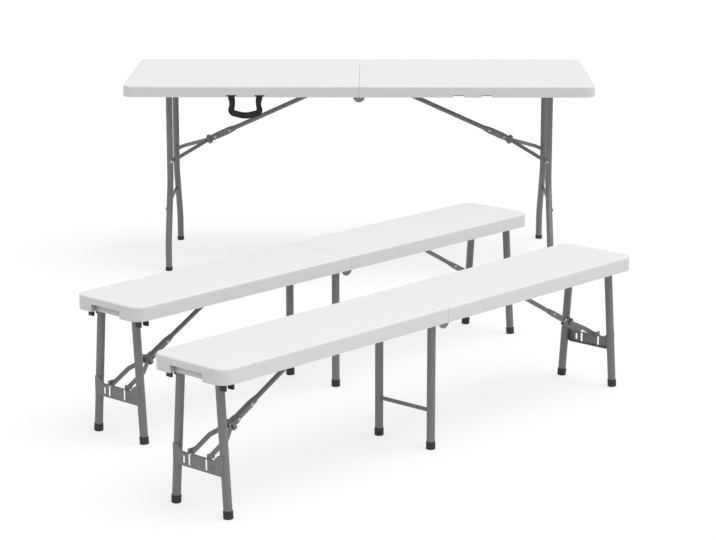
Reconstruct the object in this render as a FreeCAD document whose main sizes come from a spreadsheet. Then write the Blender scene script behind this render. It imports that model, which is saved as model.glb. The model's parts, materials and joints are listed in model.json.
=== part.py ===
import FreeCAD, Part
import math
import os

import Sketcher

Vector = FreeCAD.Vector
Rotation = FreeCAD.Rotation

doc = FreeCAD.newDocument("camping_table_and_benches")
sheet = doc.addObject("Spreadsheet::Sheet", "Sizes")

sizes = {
    # Where the benches stand: skewed, in front of the table
    "bench_turn": 48,
    "rear_bench_across": -118,
    "rear_bench_ahead": 1800,
    "front_bench_across": 172,
    "front_bench_ahead": 2460,
    # Table top, two moulded halves that fold together
    "table_length": 1800,
    "table_width": 740,
    "table_height": 740,
    "table_rim": 42,
    "table_panel": 15,
    "table_wall": 14,
    "table_end_wall": 14,
    "table_corner": 45,
    "table_edge": 6,
    "table_groove_depth": 7,
    "table_groove_width": 48,
    "groove_before": 25,
    "groove_beyond": 34,
    # Bench seat, two moulded halves that fold together
    "bench_length": 1830,
    "bench_width": 280,
    "bench_height": 430,
    "bench_rim": 45,
    "bench_panel": 15,
    "bench_wall": 12,
    "bench_end_wall": 26,
    "bench_corner": 40,
    "bench_edge": 6,
    "bench_groove_depth": 5,
    "bench_groove_width": 44,
    "bench_hold_width": 124,
    "bench_hold_height": 23,
    "bench_hold_depth": 18,
    # Folding hinge at the seam: one plate with two pins on each side
    "seam_gap": 1,
    "table_hinge_pitch": 8,
    "table_hinge_rise": 0,
    "table_link_radius": 23,
    "bench_hinge_pitch": 6,
    "bench_hinge_rise": 2,
    "bench_link_radius": 23,
    "link_sheet": 3,
    "link_cap": 6,
    "link_room": 4,
    "pin_radius": 4,
    "pin_head_radius": 6,
    "pin_head": 1.5,
    # Steel rails under each half, which hold the hinge and the leg frames
    "table_rail_inset": 29.5,
    "bench_rail_inset": 20.5,
    "rail_sheet": 2.5,
    "rail_lift": 1,
    "rail_end": 15,
    "table_ear_radius": 7,
    "bench_ear_radius": 5.5,
    "fit_gap": 0.5,
    "running_fit": 0.08,
    # Leg frames of steel tube
    "tube_radius": 12.5,
    "tube_wall": 1.5,
    "tube_lap": 8,
    "bar_step": 2.5,
    "trunnion_radius": 6,
    "trunnion_reach": 2,
    "table_pivot_inset": 158,
    "table_pivot_rise": 10,
    "table_leg_top": 147,
    "table_left_foot": 278,
    "table_right_foot": 312,
    "table_bend_high": 330,
    "table_bend_low": 108,
    "table_bend_radius": 110,
    "table_rung_radius": 6,
    "table_rung_height": 230,
    "table_rung_offset": 10,
    "bench_pivot_inset": 51,
    "bench_pivot_rise": 12,
    "bench_leg_top": 74,
    "bench_foot": 102,
    "centre_leg_inset": 32,
    "centre_leg_room": 2,
    "centre_rung_radius": 6,
    "centre_rung_height": 118,
    # Plastic foot caps
    "cap_wall": 1.6,
    "table_cap_height": 16,
    "bench_cap_height": 24,
    "cap_sole": 4,
    "cap_fit": 0.3,
    # Folding braces: upper tube with a riveted channel, fork and lock ring
    "table_brace_anchor": 60,
    "table_brace_rise": 16,
    "table_brace_drop": 298,
    "table_brace_radius": 9,
    "bench_brace_anchor": 409,
    "bench_brace_rise": 18,
    "bench_brace_drop": 235,
    "bench_brace_radius": 7,
    "brace_wall": 1.5,
    "eye_margin": 1,
    "eye_width": 8,
    "eye_length": 20,
    "eye_lap": 3,
    "bracket_sheet": 3,
    "bracket_half": 10,
    "bracket_base": 2.5,
    "table_channel_height": 26,
    "bench_channel_height": 18,
    "channel_back": 88,
    "channel_ahead": 18,
    "channel_sheet": 2,
    "channel_lap": 45,
    "rivet_radius": 3,
    "rivet_head_radius": 6,
    "rivet_head": 1.7,
    "rivet_step": 62,
    "ear_length": 36,
    "ear_gap": 0.3,
    "crest_margin": 1,
    "ear_sheet": 3,
    "table_ear_height": 20,
    "bench_ear_height": 14,
    "arm_start": 33,
    "arm_bend": 38,
    "table_arm_sheet": 5,
    "table_arm_height": 14,
    "table_arm_run": 150,
    "table_arm_spread": 131,
    "bench_arm_sheet": 5,
    "bench_arm_height": 14,
    "bench_arm_run": 78,
    "bench_arm_spread": 33,
    "tip_margin": 8,
    "ring_start": 20,
    "ring_length": 12,
    "ring_wall": 3,
    "table_ring_height": 27,
    "bench_ring_height": 22,
    "ring_side_gap": 0.7,
    "ring_round": 5,
    "ring_inner_round": 2,
    # Pressed plate between the legs at each bench end
    "plate_sheet": 2,
    "plate_low": 118,
    "plate_high": 156,
    "plate_half": 97,
    "plate_weld": 0.5,
    "plate_flange": 8,
    "plate_flange_half": 76,
    "plate_lug_half": 8,
    "plate_lug_sheet": 3,
    "plate_lug_gap": 0.3,
    "plate_slot_gap": 1,
    "plate_slot_floor": 5,
    "plate_flare_start": 58,
    "plate_flare_end": 79,
    "plate_flare_rise": 20,
    "plate_window_spread": 54,
    "plate_window_width": 7,
    "plate_window_height": 20,
    # Snap clips that hold the other half's pivot bar when the bench is shut
    "clip_spread": 104,
    "clip_width": 20,
    "clip_wall": 7,
    "clip_gap": 0.5,
    "clip_reach": 25,
    # Carrying strap on the table's front rim
    "strap_centre": 432,
    "strap_span": 133,
    "strap_drop": 84,
    "strap_width": 25,
    "strap_sheet": 3,
    "strap_corner": 14,
    "strap_loop_radius": 4.5,
    "strap_pin_radius": 2.5,
    "strap_pin_seat": 3,
    "strap_pin_rise": 3.5,
    "strap_notch_room": 7,
    # One overrun serves all cuts
    "overrun": 5,
}

for row, (alias, amount) in enumerate(sizes.items(), 1):
    sheet.set(f"A{row}", alias)
    sheet.set(f"B{row}", str(amount))
    sheet.setAlias(f"B{row}", alias)
doc.recompute()


def number(expression):
    found = sheet.evalExpression(expression)
    return float(getattr(found, "Value", found))


class Frame:
    # Expressions for one folding top and what hangs under it, drawn on the +X half

    def __init__(self, item):
        self.item = item
        self.rim_z = f"({self.height} - {self.rim})"
        self.ceiling = f"({self.height} - {self.panel})"
        self.end = f"({self.length} / 2)"
        self.side = f"({self.width} / 2)"
        self.pivot_x = f"({self.end} - {self.pivot_inset})"
        self.pivot_z = f"({self.rim_z} + {self.pivot_rise})"
        self.pin_z = f"({self.rim_z} + {self.hinge_rise})"
        self.rail_out = f"({self.side} - {self.rail_inset})"
        self.rail_in = f"({self.rail_out} - Sizes.rail_sheet)"
        self.link_in = f"({self.rail_out} + Sizes.fit_gap)"
        self.link_out = f"({self.link_in} + Sizes.link_sheet)"
        self.anchor_z = f"({self.rim_z} + {self.brace_rise})"
        self.joint_x = f"({self.pivot_x} - {self.brace_rise} + {self.pivot_rise})"
        self.joint_z = f"({self.pivot_z} - {self.brace_drop})"
        run = f"({self.joint_x} - {self.brace_anchor})"
        fall = f"({self.anchor_z} - {self.joint_z})"
        straight = f"sqrt({run} ^ 2 + {fall} ^ 2)"
        folded = f"({self.pivot_x} - {self.brace_drop} - {self.brace_anchor})"
        self.upper = f"(({straight} + {folded}) / 2)"
        self.lower = f"(({straight} - {folded}) / 2)"
        self.slope = f"atan({fall} / {run})"
        self.channel_half = f"({self.brace_radius} + Sizes.channel_sheet)"
        self.ear_in = f"({self.channel_half} + Sizes.ear_gap)"

    def __getattr__(self, name):
        return f"Sizes.{self.item}_{name}"


bar_radius = "(Sizes.tube_radius - Sizes.bar_step)"
table = Frame("table")
bench = Frame("bench")

turned = {
    "x": Rotation(Vector(0, 1, 0), 90),
    "y": Rotation(Vector(1, 0, 0), -90),
    "z": Rotation(),
}


def box(label, low, high):
    thing = doc.addObject("Part::Box", label)
    for name, start, stop in zip(("Length", "Width", "Height"), low, high):
        thing.setExpression(name, f"({stop}) - ({start})")
    for axis, start in zip("xyz", low):
        thing.setExpression(f"Placement.Base.{axis}", start)
    return thing


def rod(label, along, radius, start, length):
    thing = doc.addObject("Part::Cylinder", label)
    thing.Placement.Rotation = turned[along]
    thing.setExpression("Radius", radius)
    thing.setExpression("Height", length)
    for axis, place in zip("xyz", start):
        thing.setExpression(f"Placement.Base.{axis}", place)
    return thing


def fuse(label, things):
    thing = doc.addObject("Part::MultiFuse", label)
    thing.Shapes = things
    return thing


def cut(label, base, tools):
    thing = doc.addObject("Part::Cut", label)
    thing.Base = base
    thing.Tool = tools[0] if len(tools) == 1 else fuse(f"{label}_tools", tools)
    return thing


def group(label, things):
    thing = doc.addObject("Part::Compound", label)
    thing.Links = things
    return thing


def mirror(label, source, normal):
    thing = doc.addObject("Part::Mirroring", label)
    thing.Source = source
    thing.Normal = normal
    return thing


def front_and_rear(label, rear):
    return group(label, [mirror(f"{label}_front", rear, Vector(0, 1, 0)), rear])


def shaped(label, shape):
    thing = doc.addObject("Part::Feature", label)
    thing.Shape = shape
    return thing


def path_wire(points, bend):
    # Straight runs joined by tangent arcs of one radius
    edges = []
    start = points[0]
    for before, corner, after in zip(points, points[1:], points[2:]):
        back = (before - corner).normalize()
        ahead = (after - corner).normalize()
        half_turn = (corner - before).getAngle(after - corner) / 2
        inward = (back + ahead).normalize()
        setback = bend * math.tan(half_turn)
        middle = corner + inward * (bend / math.cos(half_turn) - bend)
        leave = corner + back * setback
        rejoin = corner + ahead * setback
        edges.append(Part.LineSegment(start, leave).toShape())
        edges.append(Part.Arc(leave, middle, rejoin).toShape())
        start = rejoin
    edges.append(Part.LineSegment(start, points[-1]).toShape())
    return Part.Wire(edges)


def hollow_tube(label, points, bend):
    wire = path_wire(points, bend)
    heading = points[1] - points[0]
    solids = []
    for radius in (number("Sizes.tube_radius"), number("Sizes.tube_radius - Sizes.tube_wall")):
        circle = Part.Wire([Part.makeCircle(radius, points[0], heading)])
        solids.append(wire.makePipeShell([circle], True, True))
    return shaped(label, solids[0].cut(solids[1]))


def bent_strip(label, points, sheet, height):
    # Flat bar standing on edge along a run of points in plan
    along = [(after - before).normalize() for before, after in zip(points, points[1:])]
    left = []
    right = []
    for index, point in enumerate(points):
        arriving = along[max(index - 1, 0)]
        leaving = along[min(index, len(along) - 1)]
        mean = (arriving + leaving).normalize()
        aside = Vector(-mean.y, mean.x, 0) * (sheet / 2 / mean.dot(leaving))
        left.append(point + aside)
        right.append(point - aside)
    outline = Part.makePolygon(left + right[::-1] + left[:1])
    outline.translate(Vector(0, 0, -height / 2))
    return shaped(label, Part.Face(outline).extrude(Vector(0, 0, height)))


def rounded_bar(width, height, length, start, radius):
    solid = Part.makeBox(length, width, height, Vector(start, -width / 2, -height / 2))
    edges = [edge for edge in solid.Edges if abs(edge.tangentAt(0).x) == 1]
    return solid.makeFillet(radius, edges)


def foot_cap(label, frame, floor_point, lean):
    radius = number("Sizes.tube_radius")
    outer_radius = radius + number("Sizes.cap_wall")
    height = number(frame.cap_height)
    overrun = number("Sizes.overrun")
    lean = lean.normalize()
    solid = Part.makeCylinder(outer_radius, height + overrun, floor_point - lean * overrun, lean)
    socket = floor_point + lean * number("Sizes.cap_sole")
    solid = solid.cut(Part.makeCylinder(radius + number("Sizes.cap_fit"), height, socket, lean))
    room = outer_radius + overrun
    above = Part.makeBox(2 * room, 2 * room, 2 * height, floor_point - Vector(room, room, 0))
    return shaped(label, solid.common(above))


def outline_sketch(body, label, low, high, level):
    sketch = body.newObject("Sketcher::SketchObject", label)
    plane = next(part for part in body.Origin.OriginFeatures if part.Name.startswith("XY_Plane"))
    sketch.AttachmentSupport = [(plane, "")]
    sketch.MapMode = "FlatFace"
    sketch.setExpression("AttachmentOffset.Base.z", level)
    corners = [(low[0], low[1]), (high[0], low[1]), (high[0], high[1]), (low[0], high[1])]
    spots = [Vector(number(across), number(along), 0) for across, along in corners]
    for first, second in zip(spots, spots[1:] + spots[:1]):
        sketch.addGeometry(Part.LineSegment(first, second), False)
    for side in range(4):
        sketch.addConstraint(Sketcher.Constraint("Coincident", side, 2, (side + 1) % 4, 1))
    for side in (0, 2):
        sketch.addConstraint(Sketcher.Constraint("Horizontal", side))
    for side in (1, 3):
        sketch.addConstraint(Sketcher.Constraint("Vertical", side))
    for kind, side, place in (
        ("DistanceX", 0, low[0]),
        ("DistanceY", 0, low[1]),
        ("DistanceX", 2, high[0]),
        ("DistanceY", 2, high[1]),
    ):
        held = sketch.addConstraint(Sketcher.Constraint(kind, -1, 1, side, 1, number(place)))
        sketch.setExpression(f"Constraints[{held}]", place)
    return sketch


def top_half(frame):
    label = f"{frame.item}_half"
    body = doc.addObject("PartDesign::Body", label)
    seam = "(Sizes.seam_gap / 2)"
    side = frame.side
    plan = outline_sketch(body, f"{label}_plan", (seam, f"-{side}"), (frame.end, side), frame.rim_z)
    pad = body.newObject("PartDesign::Pad", f"{label}_slab")
    pad.Profile = plan
    pad.setExpression("Length", frame.rim)
    doc.recompute()

    def edges_where(feature, test):
        found = []
        for index, edge in enumerate(feature.Shape.Edges, 1):
            if all(test(vertex.Point) for vertex in edge.Vertexes):
                found.append(f"Edge{index}")
        return found

    near = number("Sizes.fit_gap") / 2
    end = number(frame.end)
    upright = []
    for index, edge in enumerate(pad.Shape.Edges, 1):
        at_end = all(abs(vertex.X - end) < near for vertex in edge.Vertexes)
        if at_end and abs(edge.tangentAt(0).z) > abs(edge.tangentAt(0).y):
            upright.append(f"Edge{index}")
    corners = body.newObject("PartDesign::Fillet", f"{label}_corners")
    corners.Base = (pad, upright)
    corners.setExpression("Radius", frame.corner)
    doc.recompute()
    top = number(frame.height)
    seam_edges = edges_where(corners, lambda p: p.x < near + number(seam))
    upper = edges_where(corners, lambda p: abs(p.z - top) < near)
    edge = body.newObject("PartDesign::Fillet", f"{label}_edge")
    edge.Base = (corners, [name for name in upper if name not in seam_edges])
    edge.setExpression("Radius", frame.edge)
    doc.recompute()

    inner = f"({side} - {frame.wall})"
    recess = f"({frame.rim} - {frame.panel})"
    beyond = f"({frame.brace_anchor} + {frame.upper} + Sizes.groove_beyond)"
    past_seam = f"({seam} + {frame.wall} + Sizes.overrun)"
    notch = f"({frame.rail_in} - Sizes.link_room)"
    cuts = [
        ((f"{seam} + {frame.wall}", f"-{inner}"), (f"{frame.end} - {frame.end_wall}", inner), recess),
        (
            (f"{frame.brace_anchor} - Sizes.groove_before", f"-{frame.groove_width} / 2"),
            (beyond, f"{frame.groove_width} / 2"),
            f"{recess} + {frame.groove_depth}",
        ),
        (("-Sizes.overrun", notch), (past_seam, inner), recess),
        (("-Sizes.overrun", f"-{inner}"), (past_seam, f"-{notch}"), recess),
    ]
    if frame is table:
        rise = "Sizes.strap_pin_rise + Sizes.strap_loop_radius + Sizes.fit_gap"
        for sign in "-+":
            middle = f"(Sizes.strap_centre {sign} (Sizes.strap_span - Sizes.strap_width) / 2)"
            half = "(Sizes.strap_width / 2 + Sizes.strap_notch_room)"
            cuts.append((
                (f"{middle} - {half}", f"-{side} - Sizes.overrun"),
                (f"{middle} + {half}", f"-{inner} + Sizes.overrun"),
                rise,
            ))
    else:
        half = "Sizes.bench_hold_width / 2"
        cuts.append((
            (f"{frame.end} - Sizes.bench_hold_depth", f"-{half}"),
            (f"{frame.end} + Sizes.overrun", half),
            "Sizes.bench_hold_height",
        ))
    for index, (low, high, depth) in enumerate(cuts, 1):
        pocket = body.newObject("PartDesign::Pocket", f"{label}_recess_{index}")
        pocket.Profile = outline_sketch(body, f"{label}_recess_{index}_plan", low, high, frame.rim_z)
        pocket.Reversed = True
        pocket.setExpression("Length", depth)
        doc.recompute()
    return body


def rail_set(frame, side):
    label = f"{frame.item}_{side}_rail"
    strip = box(
        f"{label}_strip",
        (frame.hinge_pitch, frame.rail_in, f"{frame.rim_z} + Sizes.rail_lift"),
        (f"{frame.pivot_x} + Sizes.rail_end", frame.rail_out, frame.ceiling),
    )
    through = "Sizes.rail_sheet + 2 * Sizes.overrun"
    before = f"{frame.rail_in} - Sizes.overrun"
    hinge = (frame.hinge_pitch, frame.rail_in, frame.pin_z)
    ear = rod(f"{label}_ear", "y", frame.ear_radius, hinge, "Sizes.rail_sheet")
    pin_hole = "Sizes.pin_radius + Sizes.running_fit"
    pivot_hole = "Sizes.trunnion_radius + Sizes.running_fit"
    holes = [
        rod(f"{label}_pin_hole", "y", pin_hole, (frame.hinge_pitch, before, frame.pin_z), through),
        rod(f"{label}_pivot_hole", "y", pivot_hole, (frame.pivot_x, before, frame.pivot_z), through),
    ]
    if frame is bench and side == "left":
        centre = ("Sizes.centre_leg_inset", before, frame.pivot_z)
        holes.append(rod(f"{label}_centre_hole", "y", pivot_hole, centre, through))
    rail = cut(label, fuse(f"{label}_blank", [strip, ear]), holes)
    return front_and_rear(f"{label}s", rail)


def brace_bracket(frame):
    label = f"{frame.item}_bracket"
    roof = f"({frame.ceiling} + {frame.groove_depth})"
    low_x = f"{frame.brace_anchor} - Sizes.bracket_half"
    high_x = f"{frame.brace_anchor} + Sizes.bracket_half"
    inside = "(Sizes.eye_width / 2 + Sizes.fit_gap)"
    outside = f"({inside} + Sizes.bracket_sheet)"
    low = (low_x, f"-{outside}", f"{roof} - Sizes.bracket_base")
    base = box(f"{label}_base", low, (high_x, outside, roof))
    foot = f"{frame.anchor_z} - Sizes.bracket_half"
    rear = box(f"{label}_rear", (low_x, inside, foot), (high_x, outside, roof))
    front = box(f"{label}_front", (low_x, f"-{outside}", foot), (high_x, f"-{inside}", roof))
    pin = rod(
        f"{label}_pin",
        "y",
        "Sizes.pin_radius",
        (frame.brace_anchor, f"-{outside} - Sizes.pin_head", frame.anchor_z),
        f"2 * ({outside} + Sizes.pin_head)",
    )
    return fuse(label, [base, rear, front, pin])


def hinge_links(frame):
    label = f"{frame.item}_link"
    disc = rod(f"{label}_disc", "y", frame.link_radius, ("0", frame.link_in, frame.pin_z), "Sizes.link_sheet")
    reach = f"({frame.link_radius} + Sizes.overrun)"
    above = box(
        f"{label}_above",
        (f"-{reach}", f"{frame.link_in} - Sizes.overrun", f"{frame.pin_z} + Sizes.link_cap"),
        (reach, f"{frame.link_out} + Sizes.overrun", f"{frame.pin_z} + {reach}"),
    )
    tools = [above]
    through = "Sizes.link_sheet + 2 * Sizes.overrun"
    for name, sign in (("left", "-"), ("right", "+")):
        start = (f"{sign}{frame.hinge_pitch}", f"{frame.link_in} - Sizes.overrun", frame.pin_z)
        tools.append(
            rod(f"{label}_{name}_hole", "y", "Sizes.pin_radius", start, through)
        )
    return front_and_rear(f"{label}s", cut(label, disc, tools))


def hinge_pins(frame):
    label = f"{frame.item}_pin"
    pins = []
    for name, sign in (("left", "-"), ("right", "+")):
        place = f"{sign}{frame.hinge_pitch}"
        inner = f"{frame.rail_in} - Sizes.pin_head"
        shank = rod(
            f"{label}_{name}_shank",
            "y",
            "Sizes.pin_radius",
            (place, inner, frame.pin_z),
            f"{frame.link_out} - ({inner})",
        )
        head = rod(
            f"{label}_{name}_head",
            "y",
            "Sizes.pin_head_radius",
            (place, frame.link_out, frame.pin_z),
            "Sizes.pin_head",
        )
        pins.append(fuse(f"{label}_{name}", [shank, head]))
    return front_and_rear(f"{label}s", group(f"{label}_pair", pins))


def pivot_bar(label, frame, across):
    reach = f"({frame.rail_in} - Sizes.fit_gap)"
    tip = f"({frame.rail_out} + Sizes.trunnion_reach)"
    height = frame.pivot_z
    bar = rod(f"{label}_bar", "y", bar_radius, (across, f"-{reach}", height), f"2 * {reach}")
    axle = rod(f"{label}_axle", "y", "Sizes.trunnion_radius", (across, f"-{tip}", height), f"2 * {tip}")
    return [bar, axle]


def leg_points(frame, foot):
    across = number(frame.pivot_x)
    top = number(frame.leg_top)
    high = number(f"{frame.pivot_z} + Sizes.tube_lap")
    sole = number("Sizes.cap_sole")
    if frame is table:
        return [
            Vector(across, top, high),
            Vector(across, top, number("Sizes.table_bend_high")),
            Vector(across, foot, number("Sizes.table_bend_low")),
            Vector(across, foot, sole),
        ]
    drift = (foot - top) / number(frame.pivot_z)
    return [Vector(across, foot - drift * high, high), Vector(across, foot - drift * sole, sole)]


def leg_frame(frame, side, foot):
    label = f"{frame.item}_{side}_frame"
    bend = number("Sizes.table_bend_radius")
    rear = hollow_tube(f"{label}_rear_leg", leg_points(frame, foot), bend)
    legs = [rear, mirror(f"{label}_front_leg", rear, Vector(0, 1, 0))]
    if frame is table:
        start = f"({frame.leg_top} + {bar_radius})"
        head_end = f"({frame.leg_top} + Sizes.tube_radius + Sizes.rivet_head)"
        rivet = rod(
            f"{label}_rivet",
            "y",
            "Sizes.rivet_head_radius",
            (frame.joint_x, start, frame.joint_z),
            f"{head_end} - {start}",
        )
        legs += [rivet, mirror(f"{label}_front_rivet", rivet, Vector(0, 1, 0))]
    return fuse(label, pivot_bar(label, frame, frame.pivot_x) + legs)


def leg_rung(side, foot):
    share = (number("Sizes.table_bend_high - Sizes.table_rung_height")
             / number("Sizes.table_bend_high - Sizes.table_bend_low"))
    reach = f"({table.leg_top} + (Sizes.table_{side}_foot - {table.leg_top}) * {share})"
    start = (f"{table.pivot_x} + Sizes.table_rung_offset", f"-{reach}", "Sizes.table_rung_height")
    return rod(f"table_{side}_rung", "y", "Sizes.table_rung_radius", start, f"2 * {reach}")


def leg_feet(frame, side, foot):
    points = leg_points(frame, foot)
    lean = points[-2] - points[-1]
    floor_point = points[-1] - lean * (points[-1].z / lean.z)
    rear = foot_cap(f"{frame.item}_{side}_cap", frame, floor_point, lean)
    return front_and_rear(f"{frame.item}_{side}_caps", rear)


def along_brace(label, frame, things):
    thing = group(label, things)
    thing.Placement = FreeCAD.Placement(Vector(), Rotation(Vector(0, 1, 0), 10))
    thing.setExpression("Placement.Base.x", frame.brace_anchor)
    thing.setExpression("Placement.Base.z", frame.anchor_z)
    thing.setExpression("Placement.Rotation.Angle", frame.slope)
    return thing


def brace_upper(frame):
    label = f"{frame.item}_brace"
    eye = f"({frame.brace_radius} + Sizes.eye_margin)"
    half = "(Sizes.eye_width / 2)"
    knuckle = rod(f"{label}_eye", "y", eye, ("0", f"-{half}", "0"), "Sizes.eye_width")
    neck = box(f"{label}_neck", ("0", f"-{half}", f"-{eye}"), ("Sizes.eye_length", half, eye))
    channel_start = f"({frame.upper} - Sizes.channel_back)"
    tube_start = "(Sizes.eye_length - Sizes.eye_lap)"
    tube_end = f"({channel_start} + Sizes.channel_lap)"
    tube = rod(f"{label}_tube", "x", frame.brace_radius, (tube_start, "0", "0"), f"{tube_end} - {tube_start}")
    tall = f"({frame.channel_height} / 2)"
    wide = frame.channel_half
    channel = box(
        f"{label}_channel",
        (channel_start, f"-{wide}", f"-{tall}"),
        (f"{frame.upper} + Sizes.channel_ahead", wide, tall),
    )
    hollow = box(
        f"{label}_hollow",
        (tube_end, f"-{frame.brace_radius}", f"-{tall} - Sizes.overrun"),
        (
            f"{frame.upper} + Sizes.channel_ahead + Sizes.overrun",
            frame.brace_radius,
            f"{tall} - Sizes.channel_sheet",
        ),
    )
    pin_hole = rod(
        f"{label}_pin_hole",
        "y",
        "Sizes.pin_radius + Sizes.running_fit",
        ("0", f"-{half} - Sizes.overrun", "0"),
        f"2 * ({half} + Sizes.overrun)",
    )
    blank = cut(f"{label}_blank", fuse(f"{label}_raw", [knuckle, neck, tube, channel]), [hollow, pin_hole])
    ear_out = f"({frame.ear_in} + Sizes.ear_sheet + Sizes.ear_gap)"
    head_out = f"({ear_out} + Sizes.rivet_head)"
    front_start = (frame.upper, f"-{head_out}", "0")
    rear_start = (frame.upper, ear_out, "0")
    rivets = [
        rod(f"{label}_rivet", "y", "Sizes.rivet_radius", front_start, f"2 * {head_out}"),
        rod(f"{label}_rear_head", "y", "Sizes.rivet_head_radius", rear_start, "Sizes.rivet_head"),
        rod(f"{label}_front_head", "y", "Sizes.rivet_head_radius", front_start, "Sizes.rivet_head"),
    ]
    set_out = f"({wide} + Sizes.rivet_head)"
    back = f"({frame.upper} - Sizes.rivet_step)"
    set_start = (back, f"-{set_out}", "0")
    rivets.append(
        rod(f"{label}_set_rivet", "y", "Sizes.rivet_head_radius", set_start, f"2 * {set_out}")
    )
    return along_brace(f"{label}_upper", frame, [fuse(label, [blank] + rivets)])


def brace_fork(frame):
    label = f"{frame.item}_fork"
    ear_out = f"({frame.ear_in} + Sizes.ear_sheet)"
    tall = f"({frame.ear_height} / 2)"
    plate = box(
        f"{label}_ear_plate",
        (frame.upper, frame.ear_in, f"-{tall}"),
        (f"{frame.upper} + Sizes.ear_length", ear_out, tall),
    )
    tail = rod(f"{label}_tail", "y", tall, (frame.upper, frame.ear_in, "0"), "Sizes.ear_sheet")
    hole = rod(
        f"{label}_hole",
        "y",
        "Sizes.rivet_radius + Sizes.running_fit",
        (frame.upper, f"{frame.ear_in} - Sizes.overrun", "0"),
        "Sizes.ear_sheet + 2 * Sizes.overrun",
    )
    crest_start = f"{frame.upper} + Sizes.ring_start + Sizes.crest_margin"
    crest_end = f"{frame.upper} + Sizes.ring_start + Sizes.ring_length - Sizes.crest_margin"
    crest = box(
        f"{label}_crest",
        (crest_start, frame.ear_in, "0"),
        (crest_end, ear_out, f"{frame.ring_height} / 2"),
    )
    ear = cut(f"{label}_ear", fuse(f"{label}_ear_blank", [plate, tail, crest]), [hole])
    middle = number(f"{frame.ear_in} + {frame.arm_sheet} / 2")
    knee = number(frame.upper)
    spread = number(frame.arm_spread)
    run = [
        Vector(knee + number("Sizes.arm_start"), middle, 0),
        Vector(knee + number("Sizes.arm_bend"), middle, 0),
        Vector(knee + number(frame.arm_run), spread, 0),
        Vector(knee + number(f"{frame.lower} + Sizes.tip_margin"), spread, 0),
    ]
    arm = bent_strip(f"{label}_arm", run, number(frame.arm_sheet), number(frame.arm_height))
    rear = fuse(f"{label}_rear", [ear, arm])
    return along_brace(f"{label}_set", frame, [front_and_rear(f"{label}_arms", rear)])


def brace_ring(frame):
    head_out = f"({frame.ear_in} + Sizes.ear_sheet + Sizes.ear_gap + Sizes.rivet_head)"
    width = number(f"2 * ({head_out} + Sizes.ring_side_gap)")
    height = number(frame.ring_height)
    wall = number("Sizes.ring_wall")
    start = number(f"{frame.upper} + Sizes.ring_start")
    length = number("Sizes.ring_length")
    overrun = number("Sizes.overrun")
    outer = rounded_bar(width + 2 * wall, height + 2 * wall, length, start, number("Sizes.ring_round"))
    corner = number("Sizes.ring_inner_round")
    inner = rounded_bar(width, height, length + 2 * overrun, start - overrun, corner)
    ring = shaped(f"{frame.item}_ring_body", outer.cut(inner))
    return along_brace(f"{frame.item}_ring_set", frame, [ring])


def plate_web(face):
    near = number(face)
    low = number("Sizes.plate_low")
    high = number("Sizes.plate_high")
    top = number("Sizes.plate_high + Sizes.plate_flare_rise")
    half = number("Sizes.plate_half")
    start = number("Sizes.plate_flare_start")
    end = number("Sizes.plate_flare_end")
    right = [(half, low), (half, top), (end, top), (start, high)]
    left = [(-across, height) for across, height in reversed(right)]
    points = [Vector(near, across, height) for across, height in right + left + right[:1]]
    face_shape = Part.Face(Part.makePolygon(points))
    return shaped("plate_web", face_shape.extrude(Vector(number("Sizes.plate_sheet"), 0, 0)))


def end_plate():
    frame = bench
    face = f"({frame.pivot_x} + Sizes.tube_radius - Sizes.plate_weld)"
    back = f"({face} + Sizes.plate_sheet)"
    low = "Sizes.plate_low"
    high = "Sizes.plate_high"
    web = plate_web(face)
    lips = []
    for name, floor in (("low", low), ("high", f"{high} - Sizes.plate_sheet")):
        lips.append(box(
            f"plate_{name}_lip",
            (f"{face} - Sizes.plate_flange", "-Sizes.plate_flange_half", floor),
            (back, "Sizes.plate_flange_half", f"{floor} + Sizes.plate_sheet"),
        ))
    half_slot = "(Sizes.bench_arm_sheet / 2 + Sizes.plate_slot_gap)"
    tools = []
    for name, sign in (("front", "-"), ("rear", "+")):
        middle = f"({sign}Sizes.bench_arm_spread)"
        tools.append(box(
            f"plate_{name}_slot",
            (
                f"{face} - Sizes.plate_flange - Sizes.overrun",
                f"{middle} - {half_slot}",
                f"{low} + Sizes.plate_slot_floor",
            ),
            (f"{back} + Sizes.overrun", f"{middle} + {half_slot}", f"{high} + Sizes.overrun"),
        ))
    middle = f"(({low} + {high}) / 2)"
    half_wide = "(Sizes.plate_window_width / 2)"
    half_tall = "(Sizes.plate_window_height / 2)"
    tools.append(box(
        "plate_window",
        (f"{face} - Sizes.overrun", f"Sizes.plate_window_spread - {half_wide}", f"{middle} - {half_tall}"),
        (f"{back} + Sizes.overrun", f"Sizes.plate_window_spread + {half_wide}", f"{middle} + {half_tall}"),
    ))
    pressed = cut("plate_pressed", fuse("plate_blank", [web] + lips), tools)
    inside = "(Sizes.bench_arm_spread + Sizes.bench_arm_sheet / 2 + Sizes.plate_lug_gap)"
    outside = f"({inside} + Sizes.plate_lug_sheet)"
    reach = f"{frame.joint_x} - Sizes.plate_lug_half"
    bottom = f"{frame.joint_z} - Sizes.plate_lug_half"
    top = f"{frame.joint_z} + Sizes.plate_lug_half"
    rear = box("plate_rear_lug", (reach, inside, bottom), (back, outside, top))
    front = box("plate_front_lug", (reach, f"-{outside}", bottom), (back, f"-{inside}", top))
    return fuse("plate", [pressed, rear, front])


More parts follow.
